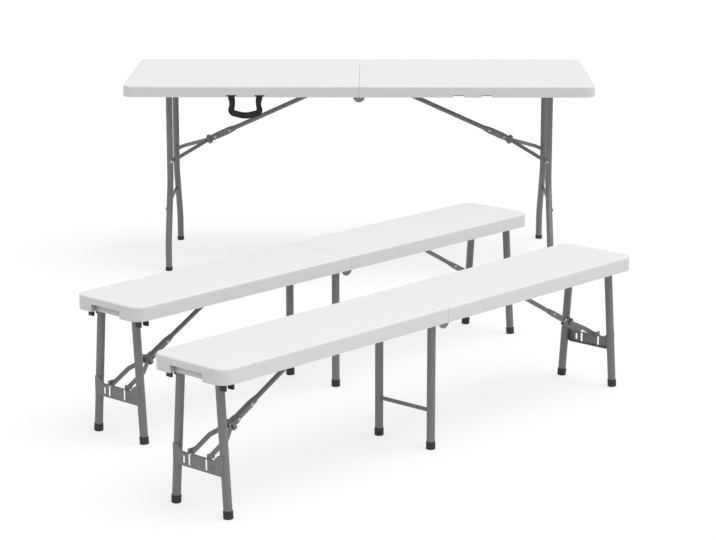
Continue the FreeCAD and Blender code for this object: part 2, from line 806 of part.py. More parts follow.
def snap_clips():
    inner = f"({bar_radius} + Sizes.clip_gap)"
    outer = f"({inner} + Sizes.clip_wall)"
    low_y = "Sizes.clip_spread - Sizes.clip_width / 2"
    high_y = "Sizes.clip_spread + Sizes.clip_width / 2"
    floor = f"{bench.rim_z} - Sizes.clip_reach"
    middle = bench.pivot_x
    low = (f"{middle} - {outer}", low_y, floor)
    solid = box("clip_block", low, (f"{middle} + {outer}", high_y, bench.ceiling))
    slot = box(
        "clip_slot",
        (f"{middle} - {inner}", f"{low_y} - Sizes.overrun", f"{floor} - Sizes.overrun"),
        (f"{middle} + {inner}", f"{high_y} + Sizes.overrun", f"{bench.pivot_z} + {inner}"),
    )
    return front_and_rear("clips", cut("clip", solid, [slot]))


centre_spread = f"({bench.rail_in} - Sizes.fit_gap - Sizes.centre_leg_room - Sizes.tube_radius)"


def centre_points():
    across = number("Sizes.centre_leg_inset")
    spread = number(centre_spread)
    high = number(f"{bench.pivot_z} + Sizes.tube_lap")
    return [Vector(across, spread, high), Vector(across, spread, number("Sizes.cap_sole"))]


def centre_frame():
    rear = hollow_tube("centre_rear_leg", centre_points(), number("Sizes.tube_radius"))
    front = mirror("centre_front_leg", rear, Vector(0, 1, 0))
    start = ("Sizes.centre_leg_inset", f"-{centre_spread}", "Sizes.centre_rung_height")
    rung = rod("centre_rung", "y", "Sizes.centre_rung_radius", start, f"2 * {centre_spread}")
    return fuse("centre_frame", pivot_bar("centre", bench, "Sizes.centre_leg_inset") + [rear, front, rung])


def centre_feet():
    floor_point = centre_points()[1]
    floor_point.z = 0
    return front_and_rear("centre_caps", foot_cap("centre_cap", bench, floor_point, Vector(0, 0, 1)))


strap_y = f"({table.wall} / 2 - {table.side})"
strap_z = f"({table.rim_z} + Sizes.strap_pin_rise)"


def strap_legs():
    half = "(Sizes.strap_span - Sizes.strap_width) / 2"
    return [f"(Sizes.strap_centre - {half})", f"(Sizes.strap_centre + {half})"]


def strap_pins():
    pins = []
    half = "(Sizes.strap_width / 2 + Sizes.strap_notch_room + Sizes.strap_pin_seat)"
    for name, middle in zip(("near", "far"), strap_legs()):
        start = (f"{middle} - {half}", strap_y, strap_z)
        pins.append(rod(f"strap_{name}_pin", "x", "Sizes.strap_pin_radius", start, f"2 * {half}"))
    return pins


def strap_handle():
    half_span = "Sizes.strap_span / 2"
    half_sheet = "Sizes.strap_sheet / 2"
    low_y = f"{strap_y} - {half_sheet}"
    high_y = f"{strap_y} + {half_sheet}"
    bottom = f"{strap_z} - Sizes.strap_drop"
    outer = box(
        "strap_outer",
        (f"Sizes.strap_centre - {half_span}", low_y, bottom),
        (f"Sizes.strap_centre + {half_span}", high_y, strap_z),
    )
    inner = box(
        "strap_inner",
        (
            f"Sizes.strap_centre - {half_span} + Sizes.strap_width",
            f"{low_y} - Sizes.overrun",
            f"{bottom} + Sizes.strap_width",
        ),
        (
            f"Sizes.strap_centre + {half_span} - Sizes.strap_width",
            f"{high_y} + Sizes.overrun",
            f"{strap_z} + Sizes.overrun",
        ),
    )
    doc.recompute()
    rounded = doc.addObject("Part::Fillet", "strap_rounded")
    rounded.Base = outer
    low_z = number(bottom)
    near = number("Sizes.fit_gap")
    radius = number("Sizes.strap_corner")
    chosen = []
    for index, edge in enumerate(outer.Shape.Edges, 1):
        level = all(abs(vertex.Z - low_z) < near for vertex in edge.Vertexes)
        if level and abs(edge.tangentAt(0).y) > abs(edge.tangentAt(0).x):
            chosen.append((index, radius, radius))
    rounded.Edges = chosen
    loops = []
    holes = []
    for name, middle in zip(("near", "far"), strap_legs()):
        start = (f"{middle} - Sizes.strap_width / 2", strap_y, strap_z)
        loops.append(rod(f"strap_{name}_loop", "x", "Sizes.strap_loop_radius", start, "Sizes.strap_width"))
        hole_start = (f"{middle} - Sizes.strap_width / 2 - Sizes.overrun", strap_y, strap_z)
        length = "Sizes.strap_width + 2 * Sizes.overrun"
        radius_text = "Sizes.strap_pin_radius + Sizes.running_fit"
        holes.append(rod(f"strap_{name}_hole", "x", radius_text, hole_start, length))
    webbing = cut("strap_webbing", rounded, [inner])
    return cut("strap", fuse("strap_joined", [webbing] + loops), holes)


reach = (f"(({bench.end} - {bench.corner}) * sin(Sizes.bench_turn * 1 deg)"
         f" + ({bench.side} - {bench.corner}) * cos(Sizes.bench_turn * 1 deg) + {bench.corner})")
shift = f"((Sizes.front_bench_ahead + {reach} - {table.side}) / 2)"
spots = {
    "table": ("0", shift, None),
    "rear_bench": ("Sizes.rear_bench_across", f"{shift} - Sizes.rear_bench_ahead", "Sizes.bench_turn"),
    "front_bench": ("Sizes.front_bench_across", f"{shift} - Sizes.front_bench_ahead", "Sizes.bench_turn"),
}
nodes = []


def place(label, things, spot):
    across, along, turn = spots[spot]
    node = group(label, things)
    node.Label = label
    node.Placement = FreeCAD.Placement(Vector(), Rotation(Vector(0, 0, 1), 10 if turn else 0))
    node.setExpression("Placement.Base.x", across)
    node.setExpression("Placement.Base.y", along)
    if turn:
        node.setExpression("Placement.Rotation.Angle", turn)
    nodes.append(node)


def handed(label, thing, side):
    return thing if side == "right" else mirror(label, thing, Vector(1, 0, 0))


table_top = top_half(table)
table_bracket = brace_bracket(table)
table_brace = brace_upper(table)
table_fork = brace_fork(table)
table_ring = brace_ring(table)
for side in ("left", "right"):
    foot = number(f"Sizes.table_{side}_foot")
    rails = [rail_set(table, side), table_bracket]
    if side == "left":
        rails += strap_pins()
    pieces = {
        "top": table_top,
        "rails": group(f"table_{side}_rail_group", rails),
        "legs": leg_frame(table, side, foot),
        "rung": leg_rung(side, foot),
        "feet": leg_feet(table, side, foot),
        "brace": table_brace,
        "fork": table_fork,
        "ring": table_ring,
    }
    for name, thing in pieces.items():
        place(f"table_{name}_{side}", [handed(f"table_{name}_{side}_copy", thing, side)], "table")
place("table_hinge_links", [hinge_links(table)], "table")
place("table_hinge_pins", [hinge_pins(table)], "table")
place("table_handle", [handed("strap_copy", strap_handle(), "left")], "table")

bench_foot = number("Sizes.bench_foot")
bench_pieces = {}
bench_top = top_half(bench)
bench_bracket = brace_bracket(bench)
shared = {
    "legs": leg_frame(bench, "end", bench_foot),
    "plate": end_plate(),
    "feet": leg_feet(bench, "end", bench_foot),
    "brace": brace_upper(bench),
    "fork": brace_fork(bench),
    "ring": brace_ring(bench),
}
for side in ("left", "right"):
    rails = group(f"bench_{side}_rail_group", [rail_set(bench, side), bench_bracket])
    for name, thing in {"seat": bench_top, "rails": rails, **shared}.items():
        bench_pieces[f"{name}_{side}"] = handed(f"bench_{name}_{side}_copy", thing, side)
bench_pieces["hinge_links"] = group("bench_hinge", [hinge_links(bench), hinge_pins(bench)])
bench_pieces["clips"] = handed("clips_copy", snap_clips(), "left")
bench_pieces["centre_legs"] = handed("centre_legs_copy", centre_frame(), "left")
bench_pieces["centre_feet"] = handed("centre_feet_copy", centre_feet(), "left")
for spot in ("rear_bench", "front_bench"):
    for name, thing in bench_pieces.items():
        place(f"{spot}_{name}", [thing], spot)

doc.recompute()
for thing in doc.Objects:
    if "Invalid" in thing.State or "Error" in thing.State:
        raise RuntimeError(f"{thing.Label}: {thing.State}")
os.makedirs("parts", exist_ok=True)
for node in nodes:
    if node.Shape.isNull() or not node.Shape.isValid() or not node.Shape.Solids:
        raise RuntimeError(f"{node.Label} has no sound solid")
    node.Shape.exportStep(f"parts/{node.Label}.step")
    bounds = node.Shape.BoundBox
    print(node.Label, len(node.Shape.Solids), round(node.Shape.Volume), bounds)
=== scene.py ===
import json
import math

import bmesh
import bpy
from mathutils import Matrix, Vector


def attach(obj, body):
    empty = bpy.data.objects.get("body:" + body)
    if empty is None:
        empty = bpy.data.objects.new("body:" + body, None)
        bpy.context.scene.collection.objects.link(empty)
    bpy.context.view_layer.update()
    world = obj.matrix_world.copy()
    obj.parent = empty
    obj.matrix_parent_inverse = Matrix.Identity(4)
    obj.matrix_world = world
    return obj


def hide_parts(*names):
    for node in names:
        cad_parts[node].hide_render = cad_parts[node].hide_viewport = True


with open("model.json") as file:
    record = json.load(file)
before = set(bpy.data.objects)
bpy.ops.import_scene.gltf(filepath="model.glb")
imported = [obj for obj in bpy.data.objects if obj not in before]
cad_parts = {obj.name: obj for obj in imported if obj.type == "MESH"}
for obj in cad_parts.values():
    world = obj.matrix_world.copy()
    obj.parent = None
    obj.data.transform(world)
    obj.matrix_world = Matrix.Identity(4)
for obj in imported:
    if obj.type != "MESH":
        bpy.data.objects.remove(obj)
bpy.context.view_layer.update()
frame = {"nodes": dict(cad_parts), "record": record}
nodes = frame["nodes"]
record = frame["record"]
bodyOf = {node: body for body, names in record["behaviour"]["bodies"].items() for node in names}
slotOf = {part["node"]: part["material_slot"] for part in record["subparts"]}
joints = record["behaviour"]["joints"]
jointAt = {joint["name"]: Vector(joint["pos_m"]) for joint in joints if joint.get("pos_m")}
items = ("table", "rear_bench", "front_bench")
sides = ("left", "right")
print("frame loaded", len(nodes))


class Socket:
    # One socket of a node tree, so that shader maths reads as an expression
    def __init__(self, tree, output=None):
        self.tree = tree
        self.output = output

    def add(self, kind, settings, inputs, output=0):
        node = self.tree.nodes.new(kind)
        for name, value in settings.items():
            setattr(node, name, value)
        for name, value in inputs.items():
            if isinstance(value, Socket):
                self.tree.links.new(value.output, node.inputs[name])
            else:
                node.inputs[name].default_value = value
        return Socket(self.tree, node.outputs[output])

    def maths(self, operation, first, second):
        return self.add("ShaderNodeMath", {"operation": operation}, {0: first, 1: second})

    def __add__(self, other):
        return self.maths("ADD", self, other)

    def __sub__(self, other):
        return self.maths("SUBTRACT", self, other)

    def __rsub__(self, other):
        return self.maths("SUBTRACT", other, self)

    def __mul__(self, other):
        return self.maths("MULTIPLY", self, other)

    __radd__ = __add__
    __rmul__ = __mul__

    def to(self, target):
        self.tree.links.new(self.output, target)


finishes = {
    # The shell's last two entries are painted shade: a reach and a dark tone that darken its recesses and
    # inner corners
    "shell": {"name": "pebbledShell", "dark": (0.770, 0.772, 0.782), "light": (0.800, 0.802, 0.810),
              "roughness": 0.46, "metallic": 0.0, "patch": 2.5, "grain": 900.0, "height": 0.0004,
              "paintedShadeReach": 0.030, "paintedShadeTone": (0.050, 0.051, 0.060)},
    "steel": {"name": "powderSteel", "dark": (0.190, 0.196, 0.191), "light": (0.232, 0.237, 0.231),
              "roughness": 0.42, "metallic": 0.25, "patch": 9.0, "grain": 1600.0, "height": 0.0002},
    "zinc": {"name": "zincPlate", "dark": (0.215, 0.215, 0.220), "light": (0.285, 0.285, 0.290),
             "roughness": 0.34, "metallic": 0.55, "patch": 40.0, "grain": 1200.0, "height": 0.0001},
    "bright": {"name": "rivetSteel", "dark": (0.42, 0.42, 0.43), "light": (0.52, 0.52, 0.53),
               "roughness": 0.28, "metallic": 0.9, "patch": 60.0, "grain": 900.0, "height": 0.0001},
    "cap": {"name": "footRubber", "dark": (0.026, 0.026, 0.029), "light": (0.040, 0.040, 0.043),
            "roughness": 0.62, "metallic": 0.0, "patch": 30.0, "grain": 1500.0, "height": 0.0003},
    "clip": {"name": "clipMoulding", "dark": (0.012, 0.012, 0.014), "light": (0.020, 0.020, 0.022),
             "roughness": 0.50, "metallic": 0.0, "patch": 30.0, "grain": 1500.0, "height": 0.0002},
    "webbing": {"name": "wovenStrap", "dark": (0.008, 0.008, 0.009), "light": (0.024, 0.024, 0.027),
                "roughness": 0.80, "metallic": 0.0, "patch": 400.0, "grain": 900.0, "height": 0.0006,
                "weave": 130.0},
    "floor": {"name": "paleFloor", "dark": (0.55, 0.55, 0.55), "light": (0.56, 0.56, 0.56),
              "roughness": 0.9, "metallic": 0.0, "patch": 1.0, "grain": 40.0, "height": 0.0001},
}
finishSpread = {"roughness": 0.12, "roughPatch": 3, "detail": 3.0, "bump": 0.5, "fuzz": 0.3}


def surface(finish):
    material = bpy.data.materials.new(finish["name"])
    material.use_nodes = True
    tree = material.node_tree
    shader = tree.nodes["Principled BSDF"]
    start = Socket(tree)
    place = start.add("ShaderNodeTexCoord", {}, {}, "Object")

    def noise(scale):
        inputs = {"Vector": place, "Scale": scale, "Detail": finishSpread["detail"]}
        return start.add("ShaderNodeTexNoise", {}, inputs)

    colours = {"Factor": noise(finish["patch"]), "A": (*finish["dark"], 1.0), "B": (*finish["light"], 1.0)}
    tone = start.add("ShaderNodeMix", {"data_type": "RGBA"}, colours, "Result")
    if "paintedShadeReach" in finish:
        # Painted shade: the mouldings' recesses and inner corners are darkened in Base Color by their own
        # ambient occlusion
        near = {"Distance": finish["paintedShadeReach"]}
        paintedShadeAmount = start.add("ShaderNodeAmbientOcclusion", {"only_local": True}, near, "AO")
        shade = {"Factor": paintedShadeAmount, "A": (*finish["paintedShadeTone"], 1.0), "B": tone}
        tone = start.add("ShaderNodeMix", {"data_type": "RGBA"}, shade, "Result")
    tone.to(shader.inputs["Base Color"])
    shader.inputs["Metallic"].default_value = finish["metallic"]
    spread = finishSpread["roughness"]
    uneven = noise(finish["patch"] * finishSpread["roughPatch"]) * spread
    (uneven + (finish["roughness"] - spread / 2)).to(shader.inputs["Roughness"])
    grain = noise(finish["grain"])
    if "weave" in finish:
        threads = [start.add("ShaderNodeTexWave", {"bands_direction": axis},
                             {"Vector": place, "Scale": finish["weave"]}, "Fac") for axis in "XZ"]
        grain = threads[0] * threads[1] + grain * finishSpread["fuzz"]
    bump = {"Strength": finishSpread["bump"], "Distance": finish["height"], "Height": grain}
    start.add("ShaderNodeBump", {}, bump).to(shader.inputs["Normal"])
    return material


materials = {kind: surface(finish) for kind, finish in finishes.items()}
print("materials made", len(materials))


def itemOf(name):
    return next(item for item in items if name.startswith(item))


def kindOf(item):
    return "table" if item == "table" else "bench"


def spotOf(item):
    near = jointAt[f"{item}_fold_a"]
    far = jointAt[f"{item}_fold_b"]
    along = far - near
    middle = (near + far) / 2
    turn = Matrix.Rotation(math.atan2(along.y, along.x), 4, "Z")
    return Matrix.Translation((middle.x, middle.y, 0.0)) @ turn


spots = {item: spotOf(item) for item in items}
shapeSizes = {"angle": 40.0, "grownAngle": 35.0, "loftCount": 32}


def localJoint(name):
    return spots[itemOf(name)].inverted() @ jointAt[name]


def smooth(thing, angle):
    thing.data.polygons.foreach_set("use_smooth", [True] * len(thing.data.polygons))
    thing.data.set_sharp_from_angle(angle=math.radians(angle))


def meshPiece(name, points, faces, material, spot=None, angle=shapeSizes["angle"], merge=0.0):
    mesh = bpy.data.meshes.new(name)
    place = spot or Matrix()
    mesh.from_pydata([place @ Vector(point) for point in points], [], faces)
    mesh.validate()
    work = bmesh.new()
    work.from_mesh(mesh)
    if merge:
        bmesh.ops.remove_doubles(work, verts=work.verts, dist=merge)
    bmesh.ops.recalc_face_normals(work, faces=work.faces)
    work.to_mesh(mesh)
    work.free()
    thing = bpy.data.objects.new(name, mesh)
    bpy.context.collection.objects.link(thing)
    mesh.materials.append(material)
    smooth(thing, angle)
    return thing


def settle(thing, slot, body, *replaced):
    if replaced:
        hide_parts(*replaced)
    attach(thing, body)


def bands(rows, count):
    # Quads between rows of points, with both ends closed
    faces = []
    for row in range(rows - 1):
        for step in range(count):
            turn = (step + 1) % count
            low, high = row * count, (row + 1) * count
            faces.append((low + step, low + turn, high + turn, high + step))
    faces.append(tuple(reversed(range(count))))
    faces.append(tuple(range((rows - 1) * count, rows * count)))
    return faces


def lathe(profile, base, heading, segments, floor=None):
    heading = Vector(heading).normalized()
    aside = heading.orthogonal().normalized()
    across = heading.cross(aside)
    points = []
    for radius, height in profile:
        for step in range(segments):
            angle = 2 * math.pi * step / segments
            out = aside * math.cos(angle) + across * math.sin(angle)
            point = Vector(base) + heading * height + out * radius
            if floor is not None:
                point.z = max(point.z, floor)
            points.append(point)
    return points, bands(len(profile), segments)


def loft(sections, place):
    # Rounded-square sections along a line: position, half width, half height, squareness
    count = shapeSizes["loftCount"]
    points = []
    for along, wide, tall, square in sections:
        for step in range(count):
            angle = 2 * math.pi * (step + 0.5) / count
            across = math.copysign(abs(math.cos(angle)) ** (2 / square), math.cos(angle)) * wide
            up = math.copysign(abs(math.sin(angle)) ** (2 / square), math.sin(angle)) * tall
            points.append(place(along, across, up))
    return points, bands(len(sections), count)


def joined(parts):
    points = []
    faces = []
    for somePoints, someFaces in parts:
        offset = len(points)
        points += somePoints
        faces += [tuple(index + offset for index in face) for face in someFaces]
    return points, faces


edgeSizes = {"merge": 0.00001, "segments": 2, "angle": 50.0,
             "widths": {"top": 0.0024, "seat": 0.0030, "plate": 0.0005, "clips": 0.0012, "ring": 0.0006,
                        "fork": 0.0007}}


def softened(node, width):
    source = nodes[node].data
    points = [vertex.co for vertex in source.vertices]
    faces = [tuple(face.vertices) for face in source.polygons]
    thing = meshPiece(f"{node}_soft", points, faces, materials[slotOf[node]], merge=edgeSizes["merge"])
    rounding = thing.modifiers.new("rounding", "BEVEL")
    rounding.width = width
    rounding.segments = edgeSizes["segments"]
    rounding.limit_method = "ANGLE"
    rounding.angle_limit = math.radians(edgeSizes["angle"])
    rounding.harden_normals = True
    settle(thing, slotOf[node], bodyOf[node], node)


for node, thing in nodes.items():
    thing.data.materials.clear()
    thing.data.materials.append(materials["zinc" if "hinge" in node else slotOf[node]])
for node in list(nodes):
    for word, width in edgeSizes["widths"].items():
        if f"_{word}" in node:
            softened(node, width)
print("edges softened")

footSizes = {"radius": 0.0141, "bore": 0.0128, "heights": {"table": 0.016, "bench": 0.024}, "ribs": 2,
             "ribDepth": 0.0005, "ribHalf": 0.0014, "ribLow": 0.34, "ribStep": 0.17, "round": 0.0008,
             "sole": 0.80, "shoulder": 0.94, "segments": 40, "angle": 30.0, "benchTop": 0.074,
             "reach": {"table_feet_left": 0.278, "table_feet_right": 0.312, "bench": 0.102}}


def footProfile(kind):
    radius = footSizes["radius"]
    height = footSizes["heights"][kind]
    half = footSizes["ribHalf"]
    inner = radius - footSizes["ribDepth"]
    soft = footSizes["round"]
    profile = [(radius * footSizes["sole"], 0.0), (radius * footSizes["shoulder"], soft), (radius, 3 * soft)]
    for rib in range(footSizes["ribs"]):
        middle = height * (footSizes["ribLow"] + footSizes["ribStep"] * rib)
        profile += [(radius, middle - half), (inner, middle - half / 2), (inner, middle + half / 2),
                    (radius, middle + half)]
    brim = [(radius, height - 2 * soft), (radius - soft, height - soft / 2), (footSizes["bore"], height)]
    return profile + brim


def footPlaces(node):
    item = itemOf(node)
    end = "centre" if "centre" in node else node.rsplit("_", 1)[1]
    pivot = localJoint(f"{item}_leg_{end}")
    reach = footSizes["reach"].get(node, footSizes["reach"]["bench"])
    lean = 0.0
    if item != "table" and end != "centre":
        lean = footSizes["benchTop"] - reach
    return [((pivot.x, sign * reach, 0.0), (0.0, sign * lean, pivot.z)) for sign in (-1.0, 1.0)]


for node in [name for name in nodes if "_feet" in name]:
    item = itemOf(node)
    profile = footProfile(kindOf(item))
    segments = footSizes["segments"]
    parts = [lathe(profile, base, heading, segments, 0.0) for base, heading in footPlaces(node)]
    caps = meshPiece(f"{node}_caps", *joined(parts), materials["cap"], spots[item], footSizes["angle"])
    settle(caps, "cap", bodyOf[node], node)
print("foot caps made")


def newTree(name, inputs):
    tree = bpy.data.node_groups.new(name, "GeometryNodeTree")
    tree.interface.new_socket("Geometry", in_out="OUTPUT", socket_type="NodeSocketGeometry")
    for label, kind in inputs.items():
        tree.interface.new_socket(label, in_out="INPUT", socket_type=f"NodeSocket{kind}")
    source = tree.nodes.new("NodeGroupInput")
    return tree, {label: Socket(tree, source.outputs[label]) for label in inputs}


def closeTree(tree, copies, material):
    start = Socket(tree)
    real = start.add("GeometryNodeRealizeInstances", {}, {"Geometry": copies})
    painted = start.add("GeometryNodeSetMaterial", {}, {"Geometry": real, "Material": material})
    result = tree.nodes.new("NodeGroupOutput")
    painted.to(result.inputs["Geometry"])
    return tree


def gridTree():
    inputs = {"Columns": "Int", "Rows": "Int", "Long": "Float", "Wide": "Float", "Piece": "Object",
              "Material": "Material"}
    tree, given = newTree("repeatOnGrid", inputs)
    start = Socket(tree)
    counts = {"Vertices X": given["Columns"], "Vertices Y": given["Rows"], "Size X": given["Long"],
              "Size Y": given["Wide"]}
    grid = start.add("GeometryNodeMeshGrid", {}, counts)
    piece = start.add("GeometryNodeObjectInfo", {}, {"Object": given["Piece"]}, "Geometry")
    copies = start.add("GeometryNodeInstanceOnPoints", {}, {"Points": grid, "Instance": piece})
    return closeTree(tree, copies, given["Material"])


def headingTree():
    inputs = {"Geometry": "Geometry", "Size": "Float", "Piece": "Object", "Material": "Material"}
    tree, given = newTree("repeatOnHeadings", inputs)
    start = Socket(tree)
    kind = {"data_type": "FLOAT_VECTOR"}
    heading = start.add("GeometryNodeInputNamedAttribute", kind, {"Name": "heading"}, "Attribute")
    turn = start.add("FunctionNodeAlignRotationToVector", {"axis": "Z"}, {"Vector": heading})
    piece = start.add("GeometryNodeObjectInfo", {}, {"Object": given["Piece"]}, "Geometry")
    spread = {"Points": given["Geometry"], "Instance": piece, "Rotation": turn, "Scale": given["Size"]}
    copies = start.add("GeometryNodeInstanceOnPoints", {}, spread)
    return closeTree(tree, copies, given["Material"])


def grown(name, tree, values, mesh, place):
    # Runs a tree on a mesh and keeps the result as a plain mesh
    thing = bpy.data.objects.new(name, mesh)
    bpy.context.collection.objects.link(thing)
    modifier = thing.modifiers.new("repeat", "NODES")
    modifier.node_group = tree
    for socket in tree.interface.items_tree:
        if socket.in_out == "INPUT" and socket.name in values:
            modifier[socket.identifier] = values[socket.name]
    bpy.context.view_layer.update()
    plain = bpy.data.meshes.new_from_object(thing.evaluated_get(bpy.context.evaluated_depsgraph_get()))
    thing.modifiers.remove(modifier)
    plain.transform(place)
    thing.data = plain
    smooth(thing, shapeSizes["grownAngle"])
    return thing


onGrid = gridTree()
onHeadings = headingTree()
rivetSizes = {"radius": 0.0055, "rise": 0.0017, "collar": 0.0006, "segments": 20, "bands": 5,
              "crown": 80.0, "legAt": (0.736, 0.1612, 0.410), "legSize": 1.15, "pinSize": 1.09,
              "pinOut": {"table": 0.3455, "bench": 0.1245}}


def domeSeed():
    radius = rivetSizes["radius"]
    profile = [(radius, -rivetSizes["collar"]), (radius, 0.0)]
    for band in range(1, rivetSizes["bands"] + 1):
        angle = math.radians(rivetSizes["crown"] * band / rivetSizes["bands"])
        profile.append((radius * math.cos(angle), rivetSizes["rise"] * math.sin(angle)))
    shape = lathe(profile, (0.0, 0.0, 0.0), (0.0, 0.0, 1.0), rivetSizes["segments"])
    return meshPiece("rivet_seed", *shape, materials["bright"])


dome = domeSeed()


def rivetHeads(name, item, body, places, size):
    # One domed head on each side of the middle, facing outwards
    spread = [(x, sign * y, z) for x, y, z in places for sign in (-1.0, 1.0)]
    mesh = bpy.data.meshes.new(f"{name}_places")
    mesh.from_pydata(spread, [], [])
    heading = mesh.attributes.new("heading", "FLOAT_VECTOR", "POINT")
    for entry, (x, y, z) in zip(heading.data, spread):
        entry.vector = (0.0, math.copysign(1.0, y), 0.0)
    values = {"Size": size, "Piece": dome, "Material": materials["bright"]}
    settle(grown(name, onHeadings, values, mesh, spots[item]), "steel", body)


for side in sides:
    x, y, z = rivetSizes["legAt"]
    place = (math.copysign(x, localJoint(f"table_leg_{side}").x), y, z)
    body = bodyOf[f"table_legs_{side}"]
    rivetHeads(f"table_leg_rivets_{side}", "table", body, [place], rivetSizes["legSize"])
for item in items:
    pins = [localJoint(f"{item}_fold_{end}") for end in "ab"]
    places = [(pin.x, rivetSizes["pinOut"][kindOf(item)], pin.z) for pin in pins]
    rivetHeads(f"{item}_pin_heads", item, bodyOf[f"{item}_hinge_links"], places, rivetSizes["pinSize"])
print("rivets made")

braceSizes = {"table": {"tube": 0.009, "wide": 0.011, "tall": 0.013, "ear": 0.0146},
              "bench": {"tube": 0.007, "wide": 0.009, "tall": 0.009, "ear": 0.0126},
              "eyeHalf": 0.004, "eyeMargin": 0.001, "eyeEnd": 0.014, "neckEnd": 0.030, "sleeveBack": 0.088,
              "sleeveTaper": 0.028, "sleeveAhead": 0.018, "lip": 0.0008, "rivetBack": 0.062, "sink": 0.0002,
              "angle": 35.0, "neckShare": 1.4, "rampShare": 0.6, "rampTall": 0.92, "noseTall": 0.9,
              "tipWide": 0.94, "tipTall": 0.7,
              "eyeShares": ((-1.0, 0.95, 0.12), (-0.8, 1.0, 0.58), (-0.4, 1.0, 0.9), (0.0, 1.0, 1.0)),
              "square": {"eye": 5.0, "neck": 3.5, "tube": 2.0, "lip": 2.2, "sleeve": 4.5}}


def braceSections(sizes, upper):
    tube, wide, tall = sizes["tube"], sizes["wide"], sizes["tall"]
    half = braceSizes["eyeHalf"]
    eye = tube + braceSizes["eyeMargin"]
    lip = tube + braceSizes["lip"]
    back = upper - braceSizes["sleeveBack"]
    full = back + braceSizes["sleeveTaper"]
    front = upper + braceSizes["sleeveAhead"]
    neck = (braceSizes["eyeEnd"] * 2 + braceSizes["neckEnd"]) / 3
    ramp = braceSizes["rampShare"]
    rest = 1 - ramp
    square = braceSizes["square"]
    shares = braceSizes["eyeShares"]
    eyeRows = [(eye * out, half * thick, eye * high, square["eye"]) for out, thick, high in shares]
    neckRows = [(braceSizes["eyeEnd"], half, eye, square["eye"]),
                (neck, half * braceSizes["neckShare"], eye, square["neck"])]
    tubeRows = [(braceSizes["neckEnd"], tube, tube, square["tube"]), (back, tube, tube, square["tube"]),
                (back + braceSizes["sink"], lip, lip, square["lip"])]
    sleeveRows = [(back * rest + full * ramp, wide, tall * braceSizes["rampTall"], square["neck"]),
                  (full, wide, tall, square["sleeve"]),
                  (upper - braceSizes["eyeEnd"], wide, tall, square["sleeve"]),
                  (upper * rest + front * ramp, wide, tall * braceSizes["noseTall"], square["sleeve"]),
                  (front, wide * braceSizes["tipWide"], tall * braceSizes["tipTall"], square["sleeve"])]
    return eyeRows + neckRows + tubeRows + sleeveRows


def brace(item, side):
    sizes = braceSizes[kindOf(item)]
    anchor = localJoint(f"{item}_brace_{side}_turn")
    knee = localJoint(f"{item}_knee_{side}")
    upper = (knee - anchor).length
    along = (knee - anchor).normalized()
    rise = along.cross(Vector((0.0, 1.0, 0.0)))
    rise *= math.copysign(1.0, rise.z)

    def place(distance, across, up):
        return anchor + along * distance + Vector((0.0, across, 0.0)) + rise * up

    node = f"{item}_brace_{side}"
    shape = loft(braceSections(sizes, upper), place)
    thing = meshPiece(f"{node}_sleeve", *shape, materials["steel"], spots[item], braceSizes["angle"])
    settle(thing, "steel", bodyOf[node], node)
    mark = place(upper - braceSizes["rivetBack"], 0.0, 0.0)
    places = [(knee.x, sizes["ear"], knee.z), (mark.x, sizes["wide"] - braceSizes["sink"], mark.z)]
    rivetHeads(f"{node}_rivets", item, bodyOf[node], places, 1.0)


for item in items:
    for side in sides:
        brace(item, side)
bpy.data.objects.remove(dome)
print("braces shaped")

dimpleSizes = {"table": {"step": 0.0435, "radius": 0.0125, "drop": 0.003, "ceiling": 0.725,
                         "along": (0.050, 0.860), "across": (0.040, 0.320)},
               "bench": {"step": 0.0400, "radius": 0.0110, "drop": 0.003, "ceiling": 0.415,
                         "along": (0.075, 0.835), "across": (0.040, 0.090)},
               "sink": 0.0004, "segments": 16,
               "shares": ((0.90, 0.35), (0.60, 1.0), (0.30, 0.8), (0.03, 0.7))}


def dimpleSeed(item):
    sizes = dimpleSizes[kindOf(item)]
    radius, drop = sizes["radius"], sizes["drop"]
    profile = [(radius, -dimpleSizes["sink"])]
    profile += [(radius * out, drop * down) for out, down in dimpleSizes["shares"]]
    shape = lathe(profile, (0.0, 0.0, 0.0), (0.0, 0.0, -1.0), dimpleSizes["segments"])
    return meshPiece("dimple_seed", *shape, materials["shell"])


def underside(item, side):
    sizes = dimpleSizes[kindOf(item)]
    step = sizes["step"]
    seed = dimpleSeed(item)
    node = f"{item}_{'top' if item == 'table' else 'seat'}_{side}"
    low, high = sizes["along"]
    near, far = sizes["across"]
    columns = int((high - low) / step) + 1
    rows = int((far - near) / step) + 1
    middle = math.copysign((low + high) / 2, localJoint(f"{item}_leg_{side}").x)
    for index, sign in enumerate((1.0, -1.0)):
        place = spots[item] @ Matrix.Translation((middle, sign * (near + far) / 2, sizes["ceiling"]))
        values = {"Columns": columns, "Rows": rows, "Long": step * (columns - 1), "Wide": step * (rows - 1),
                  "Piece": seed, "Material": materials["shell"]}
        name = f"{item}_{side}_dimples_{index}"
        settle(grown(name, onGrid, values, bpy.data.meshes.new(name), place), "shell", bodyOf[node])
    bpy.data.objects.remove(seed)


for item in items:
    for side in sides:
        underside(item, side)
print("undersides dimpled")

plateSizes = {"proud": 0.014, "level": 0.137, "long": 0.026, "tall": 0.014, "rise": 0.0015,
              "offset": -0.052, "sink": 0.0003, "segments": 40, "angle": 60.0,
              "shares": ((0.90, 0.8), (0.78, 1.0), (0.62, 0.8), (0.50, 0.1))}


